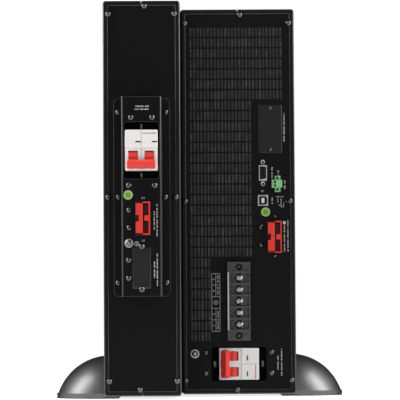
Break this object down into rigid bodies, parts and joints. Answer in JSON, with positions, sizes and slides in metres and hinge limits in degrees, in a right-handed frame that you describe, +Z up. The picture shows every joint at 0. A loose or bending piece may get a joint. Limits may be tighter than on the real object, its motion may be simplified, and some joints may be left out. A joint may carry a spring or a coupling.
{
  "type": "uninterruptible_power_supply",
  "caption": "Black uninterruptible power supply stood as a tower on dome feet: battery pack with breaker and red connector beside a slotted power module with ports, terminal block and breaker",
  "frame": {"origin": "on the floor, under the middle of the bounding box", "axes": "+Z up, the rear panels with the connections face -Y, the battery pack is at -X"},
  "size_m": [0.3275, 0.7096, 0.443],
  "materials": {
    "case_black": "fine powder coat, satin",
    "panel_black": "fine powder coat, satin",
    "zinc_sheet": "zinc plated sheet",
    "bezel_plastic": "fine grained",
    "pocket_black": "matt",
    "breaker_white": "smooth",
    "toggle_red": "smooth",
    "connector_red": "smooth",
    "silver_contact": "silver plated",
    "cover_grey": "satin",
    "display_black": "clear gloss window",
    "button_grey": "smooth",
    "tin_shell": "tin plated",
    "port_insert": "smooth",
    "screw_zinc": "zinc plated",
    "plug_green": "smooth",
    "port_white": "smooth",
    "block_black": "smooth",
    "fan_black": "smooth",
    "mesh_grey": "woven wire, blackened",
    "foot_gloss": "high gloss"
  },
  "bodies": {
    "cabinets": {"battery_tray": "case_black", "battery_cover": "case_black", "battery_rear_panel": "panel_black", "battery_front_plate": "zinc_sheet", "battery_bezel": "bezel_plastic", "connector_bracket": "panel_black", "pack_breaker_pocket": "pocket_black", "pack_breaker_body": "breaker_white", "pack_connector": "connector_red", "pack_contacts": "silver_contact", "spare_connector_cover": "cover_grey", "ups_tray": "case_black", "ups_cover": "case_black", "ups_rear_panel": "panel_black", "ups_front_plate": "zinc_sheet", "ups_bezel": "bezel_plastic", "display_window": "display_black", "display_buttons": "button_grey", "expansion_cover": "cover_grey", "serial_port_shell": "tin_shell", "serial_port_insert": "port_insert", "serial_jack_screws": "screw_zinc", "signal_plug": "plug_green", "data_port_shell": "tin_shell", "data_port_tongue": "port_white", "supply_connector": "connector_red", "supply_contacts": "silver_contact", "terminal_block": "block_black", "terminal_screws": "screw_zinc", "input_breaker_pocket": "pocket_black", "input_breaker_body": "breaker_white", "earth_screws": "screw_zinc", "vent_mesh": "mesh_grey", "fan_frames": "fan_black", "fan_rotors": "fan_black", "left_feet": "foot_gloss", "right_feet": "foot_gloss"},
    "pack_toggle": {"pack_breaker_toggle": "toggle_red"},
    "input_toggle": {"input_breaker_toggle": "toggle_red"}
  },
  "joints": [
    {"name": "pack_breaker_throw", "type": "hinge", "parent": "cabinets", "child": "pack_toggle", "pos_m": [-0.065, -0.33903, 0.267], "axis": [-1, 0, 0], "range_deg": [0, 76]},
    {"name": "input_breaker_throw", "type": "hinge", "parent": "cabinets", "child": "input_toggle", "pos_m": [0.0355, -0.22404, 0.0373], "axis": [0, 0, 1], "range_deg": [0, 76]}
  ]
}
